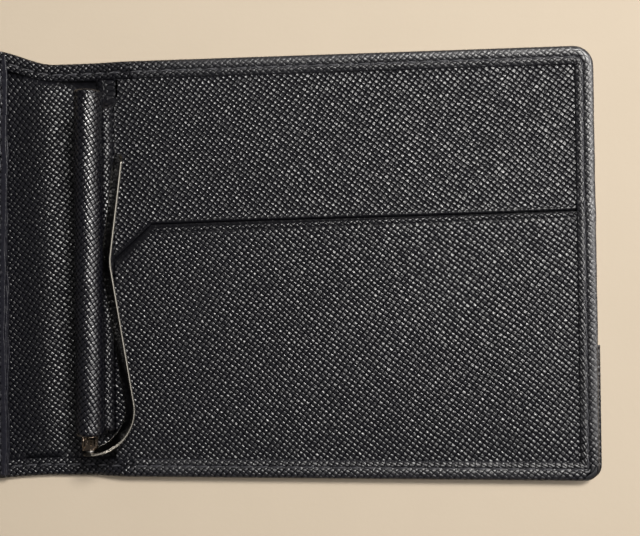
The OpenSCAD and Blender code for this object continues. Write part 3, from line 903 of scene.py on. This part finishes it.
def clip_route():
    """The strip's centre line: [u, v, heading in radians], from its riveted end to its tip."""
    lead, flare = math.radians(LEAD_IN), math.radians(FLARE)
    end = math.pi / 2 + lead
    tip_shares = [*np.linspace(0, 0.88, 20)[1:], *(1 - 0.12 * np.linspace(1, 0, 16)[1:] ** 2)]
    route = [(-TAIL + t * TAIL, 0.0, 0.0) for t in np.linspace(0, 1, 12)[:-1]]
    route += [(BEND_R * math.sin(a), BEND_R * (1 - math.cos(a)), a) for a in np.linspace(0, end, 40)]
    kink_in = ROLL_R + KINK_GAP + STRIP_T / 2
    start = kink_in + KINK_R * (1 - math.cos(lead))
    u, v, _ = route[-1]
    length = (BEND_R * math.cos(lead) - start) / math.sin(lead)
    route += [(u + t * length * math.cos(end), v + t * length * math.sin(end), end)
              for t in np.linspace(0, 1, 40)[1:]]
    u, v, _ = route[-1]
    cu, cv = u + KINK_R * math.sin(end), v - KINK_R * math.cos(end)
    route += [(cu - KINK_R * math.sin(a), cv + KINK_R * math.cos(a), a)
              for a in np.linspace(end, math.pi / 2 - flare, 16)[1:]]
    u, v, a = route[-1]
    route += [(u + t * TIP_L * math.cos(a), v + t * TIP_L * math.sin(a), a) for t in tip_shares]
    return np.array(route)


def clip_strip():
    """The spring strip as one bar with softened edges and a rounded tip."""
    route = clip_route()
    run = run_length(route[:, :2])
    tip_r, tail_r = 2.4, 1.6
    inset = np.maximum(rounding(run[-1] - run, tip_r), rounding(run, tail_r))
    inset = np.minimum(inset, STRIP_W / 2 - 0.3)
    # radii of the upper and the lower edges
    soft, crisp = 0.14, 0.05
    h = STRIP_T / 2
    rows = []
    for (u, v, a), cut in zip(route, inset):
        lo, hi = -STRIP_LOW + cut, STRIP_W - STRIP_LOW - cut
        ring = []
        for w0, s0, a0, r in ((hi - soft, h - soft, 0, soft), (lo + crisp, h - crisp, -1, crisp),
                              (lo + crisp, crisp - h, -2, crisp), (hi - soft, soft - h, -3, soft)):
            for t in (0.0, 0.25, 0.5, 0.75, 1.0):
                q = math.pi / 2 * (a0 + 1 - t)
                ring.append((w0 + r * math.cos(q), s0 + r * math.sin(q)))
        # points on the flats, so that they shade flat
        full = []
        for a2, b2 in zip(ring, ring[1:] + ring[:1]):
            full.append(a2)
            if math.dist(a2, b2) > soft:
                full += [tuple(np.array(a2) * (1 - t) + np.array(b2) * t) for t in (0.06, 0.5, 0.94)]
        ring = np.array(full)
        # a ring's second value runs outwards, away from the roll
        uu = u + ring[:, 1] * math.sin(a)
        vv = v - ring[:, 1] * math.cos(a)
        rows.append(clip_point(uu, vv, ring[:, 0]))
    points = sweep(rows)
    uv = np.stack(np.broadcast_arrays(run[:, None], run_length(points[30])[None, :]), -1)
    caps = [end_cap(points[end], points[end].mean(0), uv[end]) for end in (0, -1)]
    piece = mesh_object("clip_strip", [(points, uv, False)] + caps, STEEL)
    place(piece, None, ["clip_base", "clip_arm"])
    quarter = math.pi / 4
    mid = np.array([BEND_R * math.sin(quarter), BEND_R * (1 - math.cos(quarter))])
    ahead = 3.0 * np.array([math.cos(quarter), math.sin(quarter)])
    a, b = mid - ahead, mid + ahead
    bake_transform(piece)


clip_strip()


def turned(name, stations, node):
    """A turned metal part on the rod's axis; stations are (y, radius)."""
    ring = np.linspace(0, 2 * math.pi, 57)
    rows = [np.stack([ROD_X + r * np.cos(ring), np.full_like(ring, y), ROD_Z + r * np.sin(ring)], -1)
            for y, r in stations]
    points = np.stack(rows, 0)
    uv = np.stack(np.broadcast_arrays(ring[None, :] * 2, run_length(np.array(stations))[:, None]), -1)
    piece = mesh_object(name, [(points, uv, False)], NICKEL)
    return place(piece, "money_clip", [node])


def bead(y0, y1, r, soft, bore):
    """Stations of a collar with softened rims and a bore."""
    arc = [(soft * (1 - math.cos(a)), soft * (1 - math.sin(a))) for a in np.linspace(0, math.pi / 2, 6)]
    low = [(y0 + p[0], r - p[1]) for p in arc]
    high = [(y1 - p[0], r - p[1]) for p in arc[::-1]]
    mouth_0, mouth_1 = [(y0 + 0.2, bore), (y0, bore + 0.02)], [(y1, bore + 0.02), (y1 - 0.2, bore)]
    return mouth_0 + low + high + mouth_1 + [mouth_0[0]]


ferrule_low, ferrule_high = mm_box("clip_ferrule")
rivet_low, rivet_high = mm_box("clip_rivet")
FERRULE_R = (ferrule_high[0] - ferrule_low[0]) / 2
TENON_R = 0.9


def ferrule():
    """The collar that the roll's lower end sits on, with a turned groove."""
    y0, y1 = ferrule_low[1], ferrule_high[1]
    stations = bead(y0, y1, FERRULE_R, 0.16, TENON_R)
    deep = FERRULE_R - 0.07
    groove = [(y1 - 0.62, FERRULE_R), (y1 - 0.55, deep), (y1 - 0.45, deep), (y1 - 0.38, FERRULE_R)]
    at = next(i for i, station in enumerate(stations) if i > 8 and station[0] > y0 + 1)
    stations = stations[:at] + groove + stations[at:]
    return turned("ferrule", stations, "clip_ferrule")


def rivet():
    """The domed head that holds the strip on the rod's tenon."""
    y0, y1 = rivet_low[1], rivet_high[1]
    r = (rivet_high[0] - rivet_low[0]) / 2
    rise = np.linspace(0, math.pi / 2 - 0.02, 10)
    dome = [(y1 - (y1 - y0) * math.sin(a), r * math.cos(a)) for a in rise]
    return turned("rivet_head", [(y1, 0.02), (y1, r * 0.98), *dome, (y0, 0.001)], "clip_rivet")


ferrule()
rivet()

# ---- left half: backing and stepped card pockets ----

# distance of the stack's seam from its edge by the fold
SEAM_IN = 1.6


def card_sheet(name, node, mouth, seed):
    """One layer of the card stack, with a creased and rounded mouth."""
    low, high = mm_box(node)
    x0, x1 = -high[0], -low[0]
    x, y = np.meshgrid(spaced(x0, x1, 1.3), spaced(low[1], high[1], 1.1), indexing="ij")
    if not mouth:
        x, y = corner_map(x, y, x1, high[1], PANEL_TOP_R, 1, 1)
    x, y = corner_map(x, y, x1, low[1], PANEL_LOW_R, 1, -1)
    x, y = mirrored(x, y)
    # its edge by the fold is cut a little unevenly
    x = x - 0.3 * (wander(0.0 * y, 4 * y, seed) + 1) * (1 - smooth((-x - x0) / 2))

    def top(a, b, d):
        below = high[1] - b
        between = smooth((-a - x0) / 6) * smooth((x1 + a - 4) / 8)
        crease = 0.075 * bell(below - 1.3, 0.25) if mouth else 0.0
        lift = 0.10 * bell(below, 2.5) * between if mouth else 0.0
        seam = 0.10 * bell(-a - x0 - SEAM_IN, 0.35)
        return high[2] - 0.02 - crease + lift - seam + 0.02 * wander(a, b, seed)

    def press(a, b, d):
        return 1 - smooth((-a - x0 - 1.0) / 0.6)

    piece = slab(name, x, y, top, low[2], LEATHER_EDGE, edge_r=0.16, press=press)
    return place(piece, LEFT, [node])


card_sheet("card_back_leather", "card_backing", False, 0.3)
for k, node in enumerate(slot_nodes, 1):
    card_sheet(f"card_pocket_{k}", node, True, 0.9 * k)

# ---- stitching ----


def capsule():
    """Points of one stitch along X, [rows, around, 3], length STITCH_L, a little wider than high."""
    wide, high = 1.15 * STITCH_R, 0.8 * STITCH_R
    q = np.linspace(0, 2 * math.pi, 9)
    quarter = np.linspace(0, math.pi / 2, 4)[1:]
    rows = []
    for a in (*-quarter[::-1], *quarter):
        x = math.copysign(STITCH_L / 2 - STITCH_R, a) + STITCH_R * math.sin(a)
        rows.append(np.stack([np.full_like(q, x), wide * math.cos(a) * np.cos(q),
                              high * math.cos(a) * np.sin(q)], -1))
    return np.stack(rows, 0)


STITCH = capsule()


def stitches(name, places, body=None, nodes=()):
    """One thread object from stitches at (x, y, z, heading)."""
    along, across, up = np.moveaxis(STITCH, -1, 0)
    # ends dive into the leather
    dive = 0.22 * (np.abs(along) / (STITCH_L / 2)) ** 3
    run = np.linspace(0, STITCH_L, along.shape[0])[:, None]
    around = np.linspace(0, 1.2, along.shape[1])[None]
    uv = np.stack(np.broadcast_arrays(run, around), -1)
    patches = []
    for x, y, z, heading in places:
        # each slants a little, and no two quite alike
        slant = heading + 0.07 + rng.normal(0, 0.02)
        c, s = math.cos(slant), math.sin(slant)
        px = x + along * c - across * s
        py = y + along * s + across * c
        pz = z + up - (dive if z > 0.4 else -dive)
        patches.append((np.stack([px, py, pz], -1), uv, False))
    return place(mesh_object(name, patches, THREAD), body, nodes)


def border_places(sign, top_z, low_z, under):
    """Stitch places round a half's border, on top or underneath."""
    straight = np.linspace(0, 1, 400)
    route = border_route(STITCH_IN, straight, straight, np.linspace(0, 1, 30))
    run = run_length(route)
    at = np.arange(STITCH_STEP / 2, run[-1], STITCH_STEP)
    x, y = np.interp(at, run, route[:, 0]), np.interp(at, run, route[:, 1])
    ahead, up = [np.interp(at + 0.2, run, v) - np.interp(at - 0.2, run, v) for v in route.T]
    z = low_z(x, y) + 0.10 if under else top_z(x, y) - 0.08
    heading = np.arctan2(up, sign * ahead)
    return list(zip(sign * x, y, z, heading))


# the slip pocket covers the stitches under it
under_right = [p for p in border_places(1, right_top, right_low, True)
               if p[0] <= slip_low[0] or p[1] >= slip_high[1]]
stitches("right_stitching", border_places(1, right_top, right_low, False) + under_right,
         RIGHT, ["right_border_thread"])
stitches("left_stitching", border_places(-1, left_top, flat_low, False)
         + border_places(-1, left_top, flat_low, True), LEFT, ["left_border_thread"])


def spine_stitches(sign):
    """Stitches along the spine's two ends, from its middle to where a half's own begin."""
    top_of = right_top if sign > 0 else left_top
    places = []
    for edge in (1, -1):
        y = edge * (EDGE_Y - STITCH_IN)
        for x in sign * np.arange(STITCH_STEP / 2, SPINE_REACH - 1, STITCH_STEP):
            z = float(top_of(np.array(x), np.array(y))) - 0.08
            places += [(x, y, z, 0.0), (x, y, 0.10, 0.0)]
    return places


bend_at_fold(stitches("spine_stitching_right", spine_stitches(1)), 1)
bend_at_fold(stitches("spine_stitching_left", spine_stitches(-1)), -1)

seam_x = stack_high[0] - SEAM_IN
seam = []
for y in np.arange(BORDER_W - EDGE_Y + 1.5, EDGE_Y - BORDER_W - 1, STITCH_STEP):
    layers = sum(1 for low, high in slot_boxes if y < high[1])
    seam.append((seam_x, y, stack_high[2] + layers * slot_t - 0.02, math.pi / 2))
stitches("card_stack_stitching", seam, LEFT, ["card_stack_thread"])

# ---- floor, light and camera ----


def lit_scene():
    """A pale table top under a window, a ceiling and a bright wall on the right, all in metres."""
    scene = bpy.context.scene
    mesh = bpy.data.meshes.new("table")
    half = 3.0
    corners = [(-half, -half, 0), (half, -half, 0), (half, half, 0), (-half, half, 0)]
    mesh.from_pydata(corners, [], [(0, 1, 2, 3)])
    table = bpy.data.objects.new("table", mesh)
    scene.collection.objects.link(table)
    mesh.materials.append(table_material())
    table.location.z = -0.0001

    world = bpy.data.worlds.new("studio")
    world.use_nodes = True
    background = world.node_tree.nodes["Background"]
    background.inputs["Color"].default_value = (1.0, 0.97, 0.93, 1)
    background.inputs["Strength"].default_value = 0.09
    scene.world = world

    def area(name, at, target, size, power, colour):
        light = bpy.data.lights.new(name, "AREA")
        light.shape = "DISK"
        light.size = size
        light.energy = power
        light.color = colour
        obj = bpy.data.objects.new(name, light)
        obj.location = at
        obj.rotation_euler = (Vector(target) - Vector(at)).to_track_quat("-Z", "Y").to_euler()
        scene.collection.objects.link(obj)

    area("window", (0.38, 0.385, 0.715), (0.06, 0, 0), 0.22, 9.7, (1.0, 0.97, 0.93))
    area("ceiling", (0.50, 0.60, 1.6), (0.05, 0, 0), 0.8, 3.6, (1.0, 0.97, 0.93))
    area("right_wall", (1.0, 0.15, 0.72), (0.06, 0, 0), 0.9, 11.0, (1.0, 0.97, 0.95))


def photo_camera():
    """Almost straight down over the right half, slightly tipped so that its outer edge is nearer."""
    camera = bpy.data.cameras.new("photo_camera")
    camera.sensor_width = 36.0
    camera.lens = 53.5
    camera.clip_start = 0.005
    camera.clip_end = 20
    obj = bpy.data.objects.new("photo_camera", camera)
    obj.location = (0.07456, -0.00265, 0.19169)
    obj.rotation_euler = Euler([math.radians(a) for a in (0.599, 5.647, -0.658)], "XYZ")
    bpy.context.scene.collection.objects.link(obj)
    bpy.context.scene.camera = obj


lit_scene()
photo_camera()
bpy.context.scene.view_settings.view_transform = "Standard"
